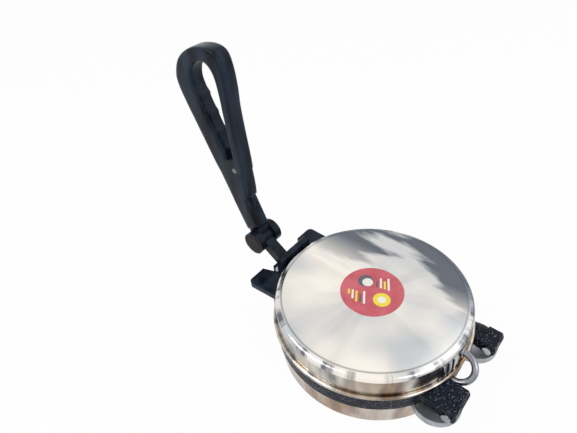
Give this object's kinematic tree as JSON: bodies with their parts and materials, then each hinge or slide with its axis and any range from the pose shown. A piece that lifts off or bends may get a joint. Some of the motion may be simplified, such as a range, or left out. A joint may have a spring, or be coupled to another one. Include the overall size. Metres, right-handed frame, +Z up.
{
  "type": "electric roti maker",
  "caption": "Countertop flatbread press: a round heated base, a hinged round heated lid in polished steel, and a black pressing lever whose rollers roll onto the lid.",
  "frame": {"origin": "below the middle of the whole object's box, at the height that the feet stand on", "axes": "+X along the hinge pins, to the user's right; +Y from the lever to the hinges; +Z up, along the plates' common axis"},
  "size_m": [0.256, 0.419, 0.3524],
  "materials": {
    "coated_casting": "black speckled coating, cast",
    "sheet_steel": "satin",
    "polished_steel": "spun and polished",
    "bright_steel": "bright",
    "screw_steel": "zinc plated",
    "heater_sheath": "dull",
    "insulation": "fibre board",
    "ceramic": "unglazed",
    "sleeving": "woven",
    "brass": "plain",
    "inlet_moulding": "fine grained",
    "lamp_lens": "translucent",
    "handle_moulding": "moulded, glossy",
    "painted_steel": "black, semi gloss",
    "roller_moulding": "turned",
    "roller_cap": "dull",
    "foot_rubber": "plain",
    "label_print": "printed film"
  },
  "bodies": {
    "base": {"lower_plate": "coated_casting", "base_casing": "sheet_steel", "bottom_cover": "sheet_steel", "cover_screws": "screw_steel", "feet": "foot_rubber", "foot_screws": "screw_steel", "lower_heater": "heater_sheath", "lower_clamp": "sheet_steel", "lower_insulation": "insulation", "base_tie_bolt": "screw_steel", "base_tie_nuts": "screw_steel", "thermostat": "ceramic", "thermal_cutout": "ceramic", "terminal_block": "ceramic", "base_leads": "sleeving", "earth_screw": "brass", "inlet_housing": "inlet_moulding", "inlet_pins": "brass", "inlet_screws": "screw_steel", "pilot_lamp": "lamp_lens", "hinge_cups": "bright_steel", "hinge_pins": "bright_steel", "pivot_bracket": "painted_steel", "pivot_bracket_bolts": "screw_steel", "pivot_pin": "bright_steel", "pivot_nut": "bright_steel", "lead_conduit": "bright_steel"},
    "lid": {"upper_plate": "coated_casting", "upper_heater": "heater_sheath", "upper_clamp": "sheet_steel", "upper_insulation": "insulation", "lid_tie_bolt": "screw_steel", "lid_tie_nut": "screw_steel", "upper_leads": "sleeving", "lid_band": "polished_steel", "seam_plate": "bright_steel", "band_screws": "screw_steel", "lid_cap": "polished_steel", "lid_label": "label_print", "conduit_ferrule": "bright_steel", "press_bracket": "handle_moulding", "press_bracket_screws": "screw_steel"},
    "lever": {"lever_crank": "painted_steel", "handle_grip": "handle_moulding", "handle_screw": "screw_steel", "roller_axle": "bright_steel", "axle_clips": "screw_steel"},
    "roller_right": {"right_roller": "roller_moulding", "right_roller_cap": "roller_cap"},
    "roller_left": {"left_roller": "roller_moulding", "left_roller_cap": "roller_cap"}
  },
  "joints": [
    {"name": "lid_hinge", "type": "hinge", "parent": "base", "child": "lid", "pos_m": [0.00775, 0.20053, 0.052], "axis": [-1, 0, 0], "range_deg": [0, 100], "deforming": ["lead_conduit"]},
    {"name": "lever_pivot", "type": "hinge", "parent": "base", "child": "lever", "pos_m": [0.00775, -0.06597, 0.062], "axis": [-1, 0, 0], "range_deg": [0, 57]},
    {"name": "roller_right_spin", "type": "hinge", "parent": "lever", "child": "roller_right", "pos_m": [0.00775, -0.10723, 0.09198], "axis": [1, 0, 0], "continuous": true},
    {"name": "roller_left_spin", "type": "hinge", "parent": "lever", "child": "roller_left", "pos_m": [0.00775, -0.10723, 0.09198], "axis": [1, 0, 0], "continuous": true}
  ]
}
